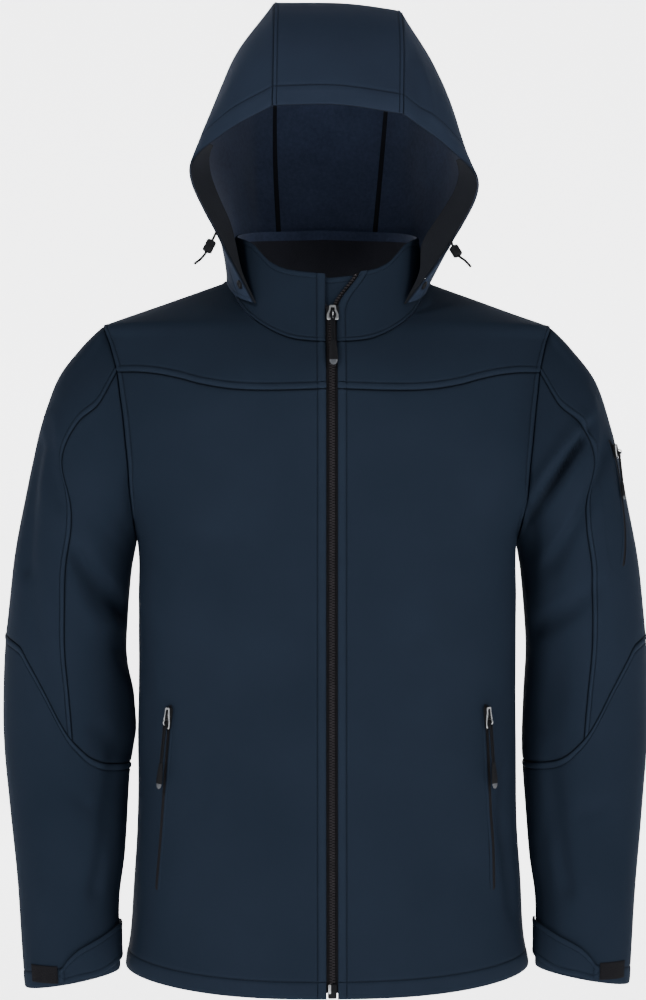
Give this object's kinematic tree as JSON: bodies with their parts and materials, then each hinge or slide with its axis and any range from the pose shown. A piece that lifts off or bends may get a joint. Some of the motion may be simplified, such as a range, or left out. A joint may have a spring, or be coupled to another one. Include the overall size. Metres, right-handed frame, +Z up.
{
  "type": "hooded softshell jacket",
  "caption": "Hooded softshell jacket, zipped to the neck, in its worn shape with the sleeves hanging and the hood up.",
  "frame": {"origin": "midway between the two points where the collar meets the shoulder seams, where the wearer's shoulders hold the garment", "axes": "+Z up the wearer, +X to the wearer's left, and the garment's front faces -Y"},
  "size_m": [0.6586, 0.2672, 0.9975],
  "materials": {
    "softshell": "matte",
    "hood_softshell": "matte",
    "hood_facing": "matte",
    "collar_facing": "matte",
    "zip_tape": "matte",
    "metal": "satin",
    "pull": "matte",
    "hook_patch": "matte",
    "cord": "matte",
    "hard_trim": "matte"
  },
  "bodies": {
    "garment": {"front_right": "softshell", "front_left": "softshell", "yoke_right": "softshell", "yoke_left": "softshell", "back": "softshell", "sleeve_top_right": "softshell", "sleeve_under_right": "softshell", "forearm_right": "softshell", "sleeve_top_left": "softshell", "sleeve_under_left": "softshell", "forearm_left": "softshell", "collar": "softshell", "wind_flap": "softshell", "cuff_tab_right": "softshell", "cuff_tab_left": "softshell", "hood_centre": "hood_softshell", "hood_side_right": "hood_softshell", "hood_side_left": "hood_softshell", "hood_facing_right": "hood_facing", "hood_facing_left": "hood_facing", "collar_facing": "collar_facing", "zip_tape_right": "zip_tape", "zip_tape_left": "zip_tape", "zip_chain": "zip_tape", "pocket_zip_right": "zip_tape", "pocket_zip_left": "zip_tape", "sleeve_pocket_zip": "zip_tape", "zip_stop": "metal", "zip_slider": "metal", "pocket_right_slider": "metal", "pocket_left_slider": "metal", "sleeve_pocket_slider": "metal", "cuff_patch_right": "hook_patch", "cuff_patch_left": "hook_patch", "hood_cord_right": "cord", "hood_cord_left": "cord", "hood_lock_right": "hard_trim", "hood_lock_left": "hard_trim", "hood_stud_right": "hard_trim", "hood_stud_left": "hard_trim"},
    "zip_pull_body": {"zip_pull": "pull"},
    "pocket_right_pull_body": {"pocket_right_pull": "pull"},
    "pocket_left_pull_body": {"pocket_left_pull": "pull"},
    "sleeve_pocket_pull_body": {"sleeve_pocket_pull": "pull"}
  },
  "joints": [
    {"name": "zip_pull_hinge", "type": "hinge", "parent": "garment", "child": "zip_pull_body", "pos_m": [0.00148, -0.10841, -0.03983], "axis": [-1, -0.0052, 0], "range_deg": [0, 150]},
    {"name": "pocket_right_pull_hinge", "type": "hinge", "parent": "garment", "child": "pocket_right_pull_body", "pos_m": [-0.16256, -0.09139, -0.44082], "axis": [-0.7491, 0.6541, 0.105], "range_deg": [0, 150]},
    {"name": "pocket_left_pull_hinge", "type": "hinge", "parent": "garment", "child": "pocket_left_pull_body", "pos_m": [0.15776, -0.0954, -0.44083], "axis": [-0.7846, -0.6172, -0.0591], "range_deg": [0, 150]},
    {"name": "sleeve_pocket_pull_hinge", "type": "hinge", "parent": "garment", "child": "sleeve_pocket_pull_body", "pos_m": [0.29325, -0.04397, -0.17391], "axis": [-0.4972, -0.8613, -0.105], "range_deg": [0, 150]}
  ]
}
